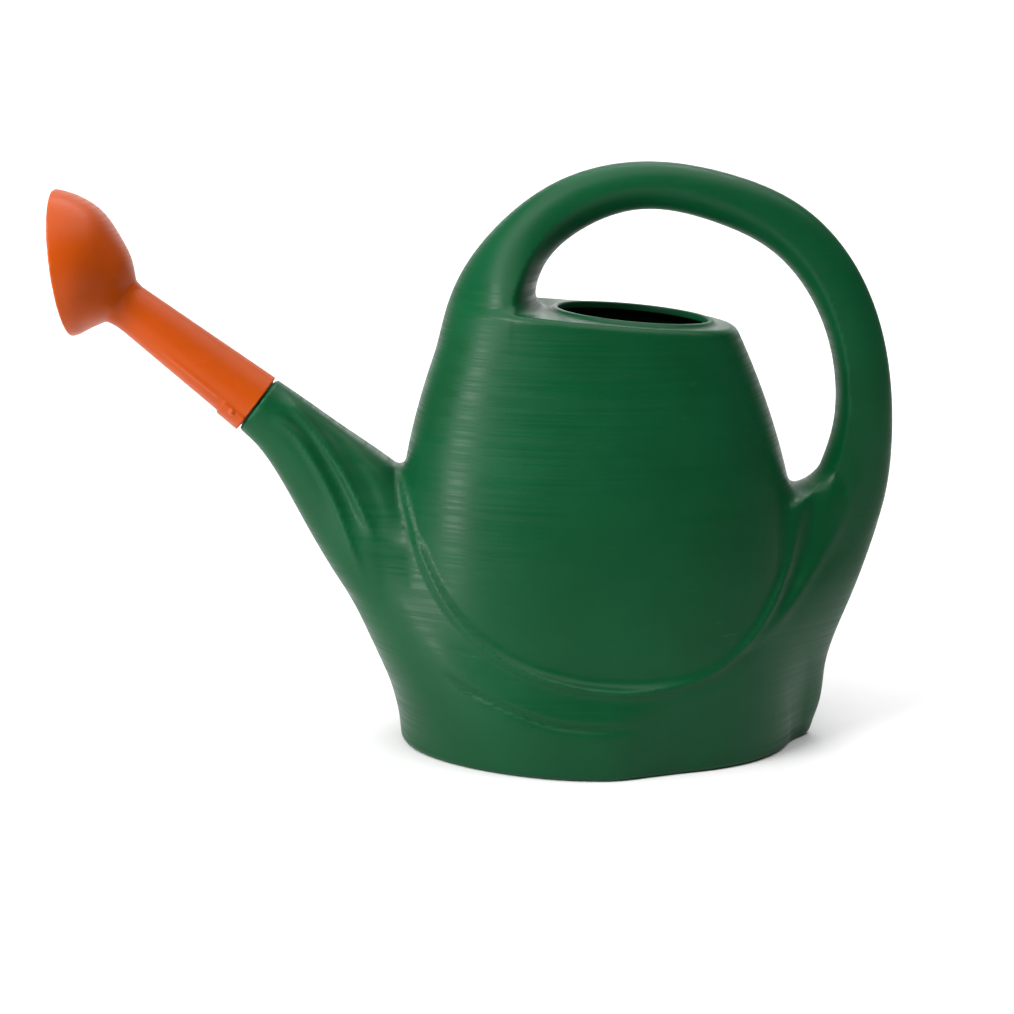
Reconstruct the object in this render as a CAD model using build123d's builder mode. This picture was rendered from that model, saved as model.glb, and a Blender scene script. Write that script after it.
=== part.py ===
"""Ten-litre plastic watering can: a hollow moulded can, and a rose that pulls off its spout."""
from build123d import *
from math import copysign, cos, pi, radians, sin, tan
import os

os.makedirs("parts", exist_ok=True)

# Driving dimensions in millimetres and degrees. +Z is up, the spout points along -X,
# and the origin is the centre of the base, on the ground.
WALL = 2
GAP = 0.3

# Plan outlines of the tank and of the sling that carries it, from the base upwards:
# height, front, rear, half width, and how full the front and the rear outline are.
TANK_LEVELS = [
    (20, -148, 132, 98, 2.2, 2.2),
    (90, -151, 136, 97, 2.2, 2.2),
    (187, -143, 122, 88, 2.2, 2.2),
    (250, -128, 103, 77, 2.25, 2.25),
    (315, -106, 78, 65, 2.3, 2.3),
]
SLING_LEVELS = [
    (0, -132, 135, 96, 2.3, 1.35),
    (2, -137, 140, 101, 2.3, 1.35),
    (8, -142, 145, 105, 2.3, 1.35),
    (50, -157, 151, 104, 2.2, 1.5),
    (100, -180, 167, 101, 1.75, 1.75),
    (145, -202, 181, 94, 1.35, 1.45),
    (180, -219, 188, 86, 0.9, 1),
]
BASE_DEPTH = 50
PLAN_MIDDLE = -10
PLAN_POINTS = 24

# Upper edge of the sling, a U seen from the side that is lowest under the tank.
SLING_EDGE = [(-139, 180), (-128, 150), (-90, 91), (-37, 65), (12, 60), (63, 68), (105, 106), (126, 150), (131, 176)]

# Shallow recess under the base, inside the ring that the can stands on.
FOOT_WIDTH = 16
RECESS_DEPTH = 2

# Deck with the filling mouth, tilted down towards the rear.
DECK_X = 14
DECK_Z = 296
DECK_TILT = 5
DECK_ROUNDING = 5
MOUTH_RADIUS = 51.5
RIM_WIDTH = 4
RIM_HEIGHT = 3.5

# Spout: centre x and z, climb of its axis, depth and width of its section.
SPOUT_CLIMB = 38
SPOUT_STATIONS = [
    (-242.3, 235.3, SPOUT_CLIMB, 42, 42),
    (-214, 210, 44, 51, 43),
    (-184, 176, 52, 72, 52),
    (-142, 128, 58, 96, 78),
]
TIP_LENGTH = 44
TIP_ROOT_RADIUS = 18.2
TIP_END_RADIUS = 16.2
TIP_WALL = 2
KEY_SIDE = 1
KEY_WIDTH = 6
KEY_HEIGHT = 1.4
KEY_START = 4
KEY_END = 14

# Handle: centre x and z, direction of its centre line, depth and width of its section.
HANDLE_STATIONS = [
    (-76, 215, 82, 60, 60),
    (-82, 262, 76, 76, 72),
    (-78, 306, 66, 66, 56),
    (-61, 343, 54, 44, 40),
    (-31, 371, 32, 34, 33),
    (18, 384.6, 3, 31, 31),
    (73, 376, -18, 32, 31),
    (118, 355, -34, 34, 32),
    (146, 328, -52, 35, 33),
    (163, 294, -69, 35.5, 34),
    (172, 258, -83, 37, 35),
    (173, 214, -95, 42, 37),
    (165, 172, -106, 50, 40),
    (155, 138, -108, 48, 40),
    (146, 108, -108, 40, 36),
]

# Sections where the spout and the handle begin: the spout's is one of its stations, and the reach
# past it takes in the whole spout and nothing of the tank.
SPOUT_CUT_X, SPOUT_CUT_Z, SPOUT_CUT_CLIMB = SPOUT_STATIONS[2][:3]
SPOUT_REACH_ABOVE = 46
SPOUT_REACH_BELOW = 60
SPOUT_REACH_WIDTH = 100
SPOUT_REACH_LENGTH = 160
HANDLE_CUT_ABOVE_DECK = 6
HANDLE_CUT_X = 131
HANDLE_CUT_Z = 188
FAR = 450

# Rose: a sleeve along the spout's axis, tapering to a neck, and a bell that turns to its face.
SLEEVE_STAND_OFF = 1.2
SLEEVE_LENGTH = 112
SLEEVE_RADIUS = 20.9
NECK_RADIUS = 15.2
SLEEVE_TAPER = (SLEEVE_RADIUS - NECK_RADIUS) / SLEEVE_LENGTH
ROSE_WALL = 2.2
PAD_LENGTH = 18
PAD_HEIGHT = 1.5
PAD_HALF_ANGLE = 65
BELL_STATIONS = [
    (-334.5, 313.3, 23.6, 47.5, 50),
    (-341.3, 320, 15.6, 64.4, 68),
    (-351, 326.8, 8.3, 83.4, 86),
    (-362.7, 331, -1, 95, 96.5),
]
FACE_X = -372
FACE_Z = 332
FACE_TILT = 5.6
FACE_RADIUS = 50
SEAT_RADIUS = 47.2
SEAT_DEPTH = 7
LEDGE_WIDTH = 1.4

# Face plate: a shallow dome with rings of holes, on a skirt that snaps into the bell.
PLATE_WALL = 1.8
PLATE_DOME = 4
HOLE_RADIUS = 1.2
HOLE_RINGS = 5
RING_PITCH = 7.6


def plan_outline(front, rear, half_width, front_fullness, rear_fullness, inset):
    """Points of one closed plan outline: 2 is an ellipse, more is fuller, less is sharper."""
    points = []
    for step in range(PLAN_POINTS):
        turn = 2 * pi * step / PLAN_POINTS
        along = cos(turn)
        across = sin(turn)
        reach = rear - PLAN_MIDDLE if along > 0 else PLAN_MIDDLE - front
        fullness = rear_fullness if along > 0 else front_fullness
        x = PLAN_MIDDLE + copysign((reach - inset) * abs(along) ** (2 / fullness), along)
        y = copysign((half_width - inset) * abs(across) ** (2 / fullness), across)
        points.append((x, y))
    return points


def stack_outlines(levels, inset):
    """Loft through plan outlines, drawn in by inset all round and raised by it at the base."""
    sections = []
    for height, *outline in levels:
        lift = inset * max(0, 1 - height / BASE_DEPTH)
        with BuildSketch(Plane.XY.offset(height + lift)) as section:
            with BuildLine():
                Spline(*plan_outline(*outline, inset), periodic=True)
            make_face()
        sections.append(section.sketch)
    loft(sections)


def section_plane(x, z, climb):
    """Plane square to a line in the middle plane that climbs at the given angle."""
    along = Vector(cos(radians(climb)), 0, sin(radians(climb)))
    return Plane(origin=(x, 0, z), x_dir=(0, 1, 0), z_dir=along)


def loft_ovals(stations, inset):
    """Loft through ovals set square to a centre line, drawn in by inset."""
    sections = []
    for x, z, climb, depth, width in stations:
        with BuildSketch(section_plane(x, z, climb)) as section:
            Ellipse(width / 2 - inset, depth / 2 - inset)
        sections.append(section.sketch)
    loft(sections)


def trim_to_sling_edge(drop):
    """Keep what lies below the sling's upper edge, lowered by drop."""
    left = SLING_EDGE[0][0] - 150
    right = SLING_EDGE[-1][0] + 150
    edge_points = [(x, z - drop) for x, z in SLING_EDGE]
    with BuildSketch(Plane.XZ) as side:
        with BuildLine():
            Spline(*edge_points)
            Polyline(edge_points[-1], (right, edge_points[-1][1]), (right, -10), (left, -10),
                     (left, edge_points[0][1]), edge_points[0])
        make_face()
    extrude(side.sketch, amount=150, both=True, mode=Mode.INTERSECT)


def deck_plane(offset=0.0):
    """Plane of the deck round the filling mouth, moved along its normal by offset."""
    normal = Vector(sin(radians(DECK_TILT)), 0, cos(radians(DECK_TILT)))
    middle = Vector(DECK_X, 0, DECK_Z)
    return Plane(origin=middle + normal * offset, x_dir=(0, 1, 0), z_dir=normal)


def above_deck(x):
    """Point of the middle plane at x, level with where the handle is cut off above the deck."""
    return x, DECK_Z + HANDLE_CUT_ABOVE_DECK - (x - DECK_X) * tan(radians(DECK_TILT))


def rising_left(stations):
    """The same stations with their climb measured from -X, the way the spout points."""
    return [(x, z, 180 - climb, depth, width) for x, z, climb, depth, width in stations]


ON_BASE = (Align.CENTER, Align.CENTER, Align.MIN)
FROM_TOP = (Align.CENTER, Align.CENTER, Align.MAX)
SPOUT_END_X, SPOUT_END_Z = SPOUT_STATIONS[0][:2]
TIP_BORE = TIP_END_RADIUS - TIP_WALL
spout_end = section_plane(SPOUT_END_X, SPOUT_END_Z, 180 - SPOUT_CLIMB)

# Tank, cut along its deck, and the water space inside it.
with BuildPart() as tank_form:
    stack_outlines(TANK_LEVELS, 0)
    split(bisect_by=deck_plane(), keep=Keep.BOTTOM)
    fillet(tank_form.faces().sort_by(Axis.Z)[-1].edges(), radius=DECK_ROUNDING)

with BuildPart() as tank_space:
    stack_outlines(TANK_LEVELS, WALL)
    split(bisect_by=deck_plane(-WALL), keep=Keep.BOTTOM)

# Sling: the broad base whose horns run up into the spout and the handle.
with BuildPart() as sling_form:
    stack_outlines(SLING_LEVELS, 0)
    trim_to_sling_edge(0)

with BuildPart() as sling_space:
    stack_outlines(SLING_LEVELS, WALL)
    trim_to_sling_edge(WALL)

# Inside of the whole can: tank, base, spout and handle are one blown hollow, which narrows to
# the tip's bore and is raised over the recess under the base.
bore_size = 2 * (TIP_BORE + WALL)
spout_space = [(SPOUT_END_X, SPOUT_END_Z, SPOUT_CLIMB, bore_size, bore_size), *SPOUT_STATIONS[1:]]
foot_outline = SLING_LEVELS[0][1:]
with BuildPart() as water_space:
    add(tank_space.part)
    add(sling_space.part)
    loft_ovals(rising_left(spout_space), WALL)
    loft_ovals(HANDLE_STATIONS, WALL)
    with BuildSketch():
        with BuildLine():
            Spline(*plan_outline(*foot_outline, FOOT_WIDTH - WALL), periodic=True)
        make_face()
    extrude(amount=RECESS_DEPTH + WALL, mode=Mode.SUBTRACT)

# The can itself, one moulding.
with BuildPart() as moulding:
    add(tank_form.part)
    add(sling_form.part)
    loft_ovals(rising_left(SPOUT_STATIONS), 0)
    loft_ovals(HANDLE_STATIONS, 0)
    with Locations(spout_end):
        Cone(TIP_ROOT_RADIUS, TIP_END_RADIUS, TIP_LENGTH, align=ON_BASE)
    with BuildSketch(spout_end.offset(KEY_START)):
        with Locations((0, KEY_SIDE * TIP_ROOT_RADIUS)):
            Rectangle(KEY_WIDTH, 2 * KEY_HEIGHT)
    extrude(amount=KEY_END - KEY_START)
    with Locations(deck_plane()):
        Cylinder(MOUTH_RADIUS + RIM_WIDTH, RIM_HEIGHT, align=ON_BASE)
    add(water_space.part, mode=Mode.SUBTRACT)
    with Locations(deck_plane(RIM_HEIGHT)):
        Cylinder(MOUTH_RADIUS, RIM_HEIGHT + 3 * WALL, align=FROM_TOP, mode=Mode.SUBTRACT)
    with Locations(spout_end):
        Cylinder(TIP_BORE, 2 * (TIP_LENGTH + WALL), mode=Mode.SUBTRACT)
    with BuildSketch():
        with BuildLine():
            Spline(*plan_outline(*foot_outline, FOOT_WIDTH), periodic=True)
        make_face()
    extrude(amount=RECESS_DEPTH, mode=Mode.SUBTRACT)

# The moulding is held as a tank, a spout and a handle that meet at plain sections: the spout is
# cut off square to its axis, and the handle just above the deck and above its root at the rear.
with BuildPart() as spout_reach:
    with BuildSketch(section_plane(SPOUT_CUT_X, SPOUT_CUT_Z, 180 - SPOUT_CUT_CLIMB)):
        with Locations((0, (SPOUT_REACH_BELOW - SPOUT_REACH_ABOVE) / 2)):
            Rectangle(SPOUT_REACH_WIDTH, SPOUT_REACH_ABOVE + SPOUT_REACH_BELOW)
    extrude(amount=SPOUT_REACH_LENGTH)

with BuildPart() as handle_reach:
    with BuildSketch(Plane.XZ):
        with BuildLine():
            Polyline(above_deck(-FAR), above_deck(HANDLE_CUT_X), (HANDLE_CUT_X, HANDLE_CUT_Z),
                     (FAR, HANDLE_CUT_Z), (FAR, FAR), (-FAR, FAR), close=True)
        make_face()
    extrude(amount=FAR, both=True)

with BuildPart() as spout:
    add(moulding.part)
    add(spout_reach.part, mode=Mode.INTERSECT)
spout.part.label = "spout"
export_step(spout.part, "parts/spout.step")

with BuildPart() as handle:
    add(moulding.part)
    add(handle_reach.part, mode=Mode.INTERSECT)
handle.part.label = "handle"
export_step(handle.part, "parts/handle.step")

with BuildPart() as tank:
    add(moulding.part)
    add(spout_reach.part, mode=Mode.SUBTRACT)
    add(handle_reach.part, mode=Mode.SUBTRACT)
tank.part.label = "tank"
export_step(tank.part, "parts/tank.step")

# Rose: sleeve and bell in one moulding. Its sleeve stops just short of the spout's shoulder,
# and a pad on its lower side covers the slot that the spout's key slides in.
sleeve_end = spout_end.offset(SLEEVE_STAND_OFF)
neck = spout_end.offset(SLEEVE_STAND_OFF + SLEEVE_LENGTH)
face = section_plane(FACE_X, FACE_Z, 180 + FACE_TILT)
seat_floor = face.offset(-SEAT_DEPTH)
taper = (TIP_ROOT_RADIUS - TIP_END_RADIUS) / TIP_LENGTH
socket_depth = TIP_LENGTH - SLEEVE_STAND_OFF + GAP
socket_mouth = TIP_ROOT_RADIUS - taper * SLEEVE_STAND_OFF + GAP
socket_floor = socket_mouth - taper * socket_depth
neck_size = 2 * NECK_RADIUS
face_size = 2 * FACE_RADIUS
ledge_size = 2 * (SEAT_RADIUS - LEDGE_WIDTH + ROSE_WALL)
neck_station = (neck.origin.X, neck.origin.Z, SPOUT_CLIMB, neck_size, neck_size)
face_station = (FACE_X, FACE_Z, -FACE_TILT, face_size, face_size)
ledge_station = (seat_floor.origin.X, seat_floor.origin.Z, -FACE_TILT, ledge_size, ledge_size)

with BuildPart() as rose_space:
    with Locations(sleeve_end):
        Cone(socket_mouth, socket_floor, socket_depth, align=ON_BASE)
    with Locations(sleeve_end.offset(socket_depth - 1)):
        Cone(TIP_BORE + GAP, NECK_RADIUS - ROSE_WALL, SLEEVE_LENGTH - socket_depth + 3, align=ON_BASE)
    loft_ovals(rising_left([neck_station, *BELL_STATIONS[:-1], ledge_station]), ROSE_WALL)
    with Locations(seat_floor):
        Cylinder(SEAT_RADIUS, SEAT_DEPTH + 1, align=ON_BASE)
    with BuildSketch(sleeve_end):
        with Locations((0, KEY_SIDE * socket_mouth)):
            Rectangle(KEY_WIDTH + 2 * GAP, 2 * (KEY_HEIGHT + GAP))
    extrude(amount=KEY_END - SLEEVE_STAND_OFF + GAP)

pad_start = sleeve_end.origin
pad_along = sleeve_end.z_dir
pad_down = sleeve_end.y_dir * KEY_SIDE
pad_top = SLEEVE_RADIUS - PAD_LENGTH * SLEEVE_TAPER + PAD_HEIGHT
with BuildPart() as pad:
    with BuildSketch(Plane(origin=pad_start, x_dir=pad_along, z_dir=pad_along.cross(pad_down))):
        with BuildLine():
            Polyline((0, 0), (PAD_LENGTH, 0), (PAD_LENGTH, pad_top), (0, SLEEVE_RADIUS), close=True)
        make_face()
    revolve(axis=Axis(pad_start, pad_along), revolution_arc=PAD_HALF_ANGLE)
    mirror(about=Plane.XZ)

with BuildPart() as rose_body:
    with Locations(sleeve_end):
        Cone(SLEEVE_RADIUS, NECK_RADIUS, SLEEVE_LENGTH + 1, align=ON_BASE)
    loft_ovals(rising_left([neck_station, *BELL_STATIONS, face_station]), 0)
    add(pad.part)
    add(rose_space.part, mode=Mode.SUBTRACT)
rose_body.part.label = "rose_body"
export_step(rose_body.part, "parts/rose_body.step")

# Face plate: a drilled dome on a skirt that snaps into the bell's seat.
plate_radius = SEAT_RADIUS - GAP
skirt_end = GAP - SEAT_DEPTH
inner_radius = plate_radius - PLATE_WALL
half_span = plate_radius / 2
with BuildPart() as rose_plate:
    with BuildSketch(Plane(origin=face.origin, x_dir=(0, 1, 0), z_dir=Vector(0, 1, 0).cross(face.z_dir))):
        with BuildLine():
            ThreePointArc((0, PLATE_DOME), (half_span, 0.75 * PLATE_DOME), (plate_radius, 0))
            Polyline((plate_radius, 0), (plate_radius, skirt_end), (inner_radius, skirt_end),
                     (inner_radius, -PLATE_WALL))
            ThreePointArc((inner_radius, -PLATE_WALL), (inner_radius / 2, 0.75 * PLATE_DOME - PLATE_WALL),
                          (0, PLATE_DOME - PLATE_WALL))
            Line((0, PLATE_DOME - PLATE_WALL), (0, PLATE_DOME))
        make_face()
    revolve(axis=Axis(face.origin, face.z_dir))
    with Locations(face):
        Cylinder(HOLE_RADIUS, 4 * PLATE_DOME, mode=Mode.SUBTRACT)
        for ring in range(1, HOLE_RINGS + 1):
            with PolarLocations(ring * RING_PITCH, 6 * ring):
                Cylinder(HOLE_RADIUS, 4 * PLATE_DOME, mode=Mode.SUBTRACT)
rose_plate.part.label = "rose_plate"
export_step(rose_plate.part, "parts/rose_plate.step")
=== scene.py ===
"""Looks of the plastic watering can: satin green blow-moulded body, orange sprinkler rose."""
import math

import bmesh
import bpy
import numpy as np
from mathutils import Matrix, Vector


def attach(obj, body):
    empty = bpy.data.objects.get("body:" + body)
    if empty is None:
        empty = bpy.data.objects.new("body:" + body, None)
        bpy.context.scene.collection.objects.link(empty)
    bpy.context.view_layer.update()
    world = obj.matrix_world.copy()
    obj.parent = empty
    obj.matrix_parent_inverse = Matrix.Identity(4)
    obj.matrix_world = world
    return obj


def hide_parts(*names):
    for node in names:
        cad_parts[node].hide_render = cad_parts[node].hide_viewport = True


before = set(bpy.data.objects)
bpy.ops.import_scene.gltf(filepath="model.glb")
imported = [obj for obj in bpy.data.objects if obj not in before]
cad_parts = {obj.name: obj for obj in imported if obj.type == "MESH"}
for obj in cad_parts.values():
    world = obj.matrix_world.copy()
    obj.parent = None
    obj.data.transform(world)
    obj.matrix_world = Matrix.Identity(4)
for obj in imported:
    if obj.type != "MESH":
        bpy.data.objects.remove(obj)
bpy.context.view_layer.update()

# Shapes are worked out in millimetres in the frame's axes, and turned to metres as meshes are made.
MM = 0.001
WALL = 2.0
# Where the front and rear halves of the can's plan outlines meet.
MIDDLE_X = -10.0
# Distance given to points too far from a curve to matter, and the least size of a divisor.
FAR, TINY = 900.0, 1e-4
# Spacing of the trial points along a curve, how many points are compared with them at once, and how
# the nearest place is then refined.
TRIAL_GAP, CHUNK, NEWTON_ROUNDS, LEAST_STIFFNESS = 8.0, 50000, 4, 0.2


# ---------------------------------------------------------------- curves and blends


class Curve:
    """Natural cubic spline through rows whose first two columns are x and z in the middle plane."""

    def __init__(self, rows):
        rows = np.asarray(rows, float)
        steps = np.hypot(*(rows[1:, :2] - rows[:-1, :2]).T)
        self.knots = np.concatenate([[0.0], np.cumsum(steps)])
        self.rows = rows
        self.bends = natural_bends(self.knots, rows)
        self.samples = np.linspace(0.0, self.knots[-1], int(self.knots[-1] / TRIAL_GAP) + 2)
        self.sample_points = self.at(self.samples)[0][:, :2]

    def at(self, s):
        """Values, first and second derivatives of every column at distances s."""
        return spline_values(self.knots, self.rows, self.bends, s)

    def nearest(self, x, z, reach=None):
        """Distance along, signed distance to the left, overshoot past an end, and the other columns.

        Points further than reach from the curve's box only get a large distance.
        """
        shape = np.broadcast(x, z).shape
        points = np.stack([np.broadcast_to(x, shape).ravel(), np.broadcast_to(z, shape).ravel()], 1)
        if reach is None:
            found = self.nearest_of(points)
        else:
            low, high = self.sample_points.min(0) - reach, self.sample_points.max(0) + reach
            near = np.all((points > low) & (points < high), axis=1)
            found = np.full((self.rows.shape[1] + 1, len(points)), FAR)
            found[0] = 0.0
            found[3:] = 1.0
            if near.any():
                found[:, near] = self.nearest_of(points[near])
        return [row.reshape(shape) for row in found[:3]] + [[row.reshape(shape) for row in found[3:]]]

    def nearest_of(self, points):
        """What nearest returns, as rows, for a list of points."""
        s = np.empty(len(points))
        for start in range(0, len(points), CHUNK):
            part = points[start:start + CHUNK]
            gaps = ((part[:, None, :] - self.sample_points[None]) ** 2).sum(2)
            s[start:start + CHUNK] = self.samples[gaps.argmin(1)]
        for _ in range(NEWTON_ROUNDS):
            value, slope, bend = self.at(s)
            gap = points - value[:, :2]
            pull = (gap * slope[:, :2]).sum(1)
            stiffness = (slope[:, :2] ** 2).sum(1) - (gap * bend[:, :2]).sum(1)
            s = np.clip(s + pull / np.maximum(stiffness, LEAST_STIFFNESS), 0.0, self.knots[-1])
        value, slope, _ = self.at(s)
        gap = points - value[:, :2]
        tangent = slope[:, :2] / np.linalg.norm(slope[:, :2], axis=1, keepdims=True)
        left = gap[:, 1] * tangent[:, 0] - gap[:, 0] * tangent[:, 1]
        over = (gap * tangent).sum(1)
        return np.stack([s, left, over, *value[:, 2:].T])


def natural_bends(knots, rows):
    """Second derivatives of a natural cubic spline at its knots."""
    count = len(knots)
    gaps = np.diff(knots)
    matrix = np.eye(count)
    right = np.zeros_like(rows)
    for i in range(1, count - 1):
        matrix[i, i - 1:i + 2] = gaps[i - 1], 2 * (gaps[i - 1] + gaps[i]), gaps[i]
        right[i] = 6 * ((rows[i + 1] - rows[i]) / gaps[i] - (rows[i] - rows[i - 1]) / gaps[i - 1])
    return np.linalg.solve(matrix, right)


def spline_values(knots, rows, bends, s):
    """Cubic spline and its first two derivatives at s, held straight past the ends."""
    i = np.clip(np.searchsorted(knots, s, side="right") - 1, 0, len(knots) - 2)
    gap = (knots[i + 1] - knots[i])[:, None]
    a = (knots[i + 1] - s)[:, None] / gap
    b = 1.0 - a
    low, high = rows[i], rows[i + 1]
    low_bend, high_bend = bends[i], bends[i + 1]
    value = a * low + b * high + ((a ** 3 - a) * low_bend + (b ** 3 - b) * high_bend) * gap ** 2 / 6
    slope = (high - low) / gap + ((3 * b ** 2 - 1) * high_bend - (3 * a ** 2 - 1) * low_bend) * gap / 6
    return value, slope, a * low_bend + b * high_bend


class Profile:
    """Smooth values of several sizes against height."""

    def __init__(self, rows):
        rows = np.asarray(rows, float)
        self.knots, self.rows = rows[:, 0], rows[:, 1:]
        self.bends = natural_bends(self.knots, self.rows)

    def at(self, height):
        """The sizes at each height, one array a column."""
        shape = np.shape(height)
        clipped = np.clip(np.ravel(height), self.knots[0], self.knots[-1])
        values = spline_values(self.knots, self.rows, self.bends, clipped)[0]
        return [values[:, i].reshape(shape) for i in range(values.shape[1])]


def join(a, b, radius):
    """Union of two fields with a fillet of the given radius."""
    reach = np.hypot(np.maximum(radius - a, 0), np.maximum(radius - b, 0))
    return np.maximum(np.minimum(a, b), radius) - reach


def meet(a, b, radius):
    """Intersection of two fields with its edge rounded to the given radius."""
    return -join(-a, -b, radius)


def ramp(value, low, high):
    """0 below low, 1 above high, smooth between."""
    t = np.clip((value - low) / (high - low), 0.0, 1.0)
    return t * t * (3 - 2 * t)


def bump(distance, width):
    """Bell curve: 1 at no distance, and almost nothing past twice the width."""
    return np.exp(-(distance / width) ** 2)


# ---------------------------------------------------------------- shape of the can

# Height, front, rear, half width, fullness.
TANK = Profile([
    (-10, -145, 127, 99, 2.2),
    (60, -150, 134, 99, 2.2),
    (120, -149, 132.5, 95.5, 2.2),
    (187, -143, 121.5, 88, 2.2),
    (250, -128, 101.5, 77.5, 2.25),
    (300, -111, 79, 67.5, 2.3),
    (330, -101, 63, 62, 2.3),
])
# Height, front, rear, half width, fullness at the front and at the rear.
SLING = Profile([
    (-5, -131, 140, 110, 2.0, 1.12),
    (10, -138.5, 144.5, 110.3, 2.05, 1.15),
    (25, -145.5, 149, 110, 2.1, 1.18),
    (50, -156.5, 151.8, 107, 2.1, 1.3),
    (100, -180, 168, 101.5, 1.7, 1.45),
    (150, -205.5, 184, 95, 1.3, 1.12),
    (190, -228, 190, 88, 1.05, 0.95),
])
# Upper edge of the sling, seen from the side.
SLING_EDGE = Curve([
    (-149, 205), (-142, 184), (-126, 137), (-91, 90.5), (-36.5, 66), (12, 60.5), (63, 68.7),
    (104.7, 106.6), (122, 148), (130, 190),
])
# Shoulder where the sling's flanks turn in under the top of the spout, and the saddle behind the tank.
SHOULDER = Curve([
    (-250, 236), (-205, 198), (-165, 166), (-140, 157), (-120, 164), (-90, 180), (0, 195), (240, 195),
])
SADDLE_HEIGHT = 179.0
# Radii of the rounded edges.
TOP_ROUND, EDGE_ROUND, SHOULDER_ROUND, SADDLE_ROUND = 4.0, 3.0, 16.0, 12.0
SPOUT_END_ROUND, FOOT_ROUND, RECESS_ROUND = 1.5, 4.0, 1.5
# How far the sling's pointed stern is blunted: as a share of its length, and across the middle plane.
STERN_SHARE, STERN_WIDTH = 0.16, 9.0
# How far from the spout's and the handle's curves they are worked out, and the handle's rounded ends.
SPOUT_REACH, HANDLE_REACH, HANDLE_CAP = 90.0, 80.0, 30.0
# The relief fades out between these distances from the middle plane.
RELIEF_FROM, RELIEF_FULL = 6, 18
# x, z, half depth, half width.
SPOUT = Curve([
    (-242.3, 235.3, 21, 21),
    (-229, 224.3, 22.4, 21.2),
    (-208, 203, 27.5, 24),
    (-184, 176, 36, 30),
    (-160, 148, 43, 41),
    (-130, 112, 48, 52),
])
# x, z, half depth, half width, place of the side ridge between inside (-1) and outside (1).
HANDLE = Curve([
    (-74, 205, 28, 48, -0.3),
    (-81, 262, 37, 57, -0.35),
    (-80.3, 306.8, 29, 51, -0.4),
    (-62, 344, 20.8, 29, -0.35),
    (-30.5, 370, 18.3, 18, -0.15),
    (18, 384, 16.1, 15.8, 0.0),
    (72.8, 375.8, 16.9, 16, -0.1),
    (117.9, 354.9, 18, 16.4, -0.3),
    (144.9, 327.1, 18.4, 16.8, -0.45),
    (162.3, 293.7, 18.4, 17.2, -0.55),
    (171.3, 257.9, 18.7, 17.8, -0.6),
    (172.5, 214, 21, 19, -0.6),
    (164, 172, 25.5, 21, -0.6),
    (154, 138, 24, 22, -0.6),
    (146, 108, 20, 20, -0.6),
])
SPOUT_CLIMB = math.radians(38)
SPOUT_AXIS = np.array([-math.cos(SPOUT_CLIMB), math.sin(SPOUT_CLIMB)])
SPOUT_END = np.array([-242.3, 235.3])
TIP_LENGTH, TIP_ROOT, TIP_END, TIP_BORE = 44.0, 18.2, 16.2, 14.2
KEY_WIDTH, KEY_HEIGHT, KEY_START, KEY_END = 6.0, 1.4, 4.0, 14.0
DECK_X, DECK_Z, DECK_TILT = 14.0, 296.0, math.radians(5)
MOUTH_RADIUS, RIM_HEIGHT = 51.5, 2.4
FOOT_WIDTH, RECESS_DEPTH = 16.0, 2.0


class Relief:
    """Soft ridge (positive height) or groove (negative) along a curve drawn on the can's side."""

    def __init__(self, height, width, fade_in, fade_out, points):
        self.height, self.width, self.fade_in, self.fade_out = height, width, fade_in, fade_out
        self.curve = Curve(points)

    def at(self, x, z):
        along, left, over, _ = self.curve.nearest(x, z, 3 * self.width)
        fade = ramp(along, 0, self.fade_in) * ramp(self.curve.knots[-1] - along, 0, self.fade_out)
        return self.height * bump(np.hypot(left, over), self.width) * fade


RELIEFS = [
    # Crease round the lower front of the sling.
    Relief(-1.9, 2.4, 30, 60, [
        (-118, 68), (-105.5, 60.6), (-76, 48.8), (-36.5, 37.2), (-10, 35.5), (30, 35),
    ]),
    # Ridge that runs on from the handle's inner edge to the sling's edge, and the valley in front of it.
    Relief(1.6, 4.5, 30, 20, [
        (163.5, 205), (163, 172.6), (154, 152), (140.9, 134.7), (120, 108), (97.6, 88), (80, 80),
    ]),
    Relief(-2.6, 7.0, 14, 24, [(140, 182), (134, 158), (124, 128), (108, 102)]),
    # Twin ridges down the spout's flank with a groove between them, and the groove above them.
    Relief(2.2, 2.9, 14, 30, [
        (-226, 244), (-214, 234), (-192, 207), (-178.6, 185), (-168.6, 165.4), (-157, 144),
    ]),
    Relief(2.2, 3.0, 14, 36, [
        (-234, 231), (-220, 222.5), (-205.3, 204), (-192.2, 180), (-185, 163), (-172.4, 131), (-166, 117),
    ]),
    Relief(-1.8, 3.8, 16, 34, [
        (-228, 234), (-213, 223), (-198.6, 205), (-185, 182), (-176.5, 164), (-164, 138),
    ]),
    Relief(-2.6, 5.0, 30, 34, [
        (-216, 238), (-199, 223), (-184, 208), (-170, 190), (-160, 172), (-153, 152),
    ]),
]


def plan_part(x, front, rear, front_power, rear_power):
    """Share of a plan outline's reach taken up along x, raised to its fullness."""
    ahead = x > MIDDLE_X
    reach = np.where(ahead, rear - MIDDLE_X, MIDDLE_X - front)
    power = np.where(ahead, rear_power, front_power)
    share = np.abs(x - MIDDLE_X) / reach
    soft = np.where(ahead & (power < 2), STERN_SHARE, 0.0)
    share = (np.hypot(share, soft) - soft) / (np.hypot(1.0, soft) - soft)
    return share ** power, power


def along_spout(x, z):
    """Distance along the spout's axis past the end of its cone."""
    return (x - SPOUT_END[0]) * SPOUT_AXIS[0] + (z - SPOUT_END[1]) * SPOUT_AXIS[1]


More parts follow.
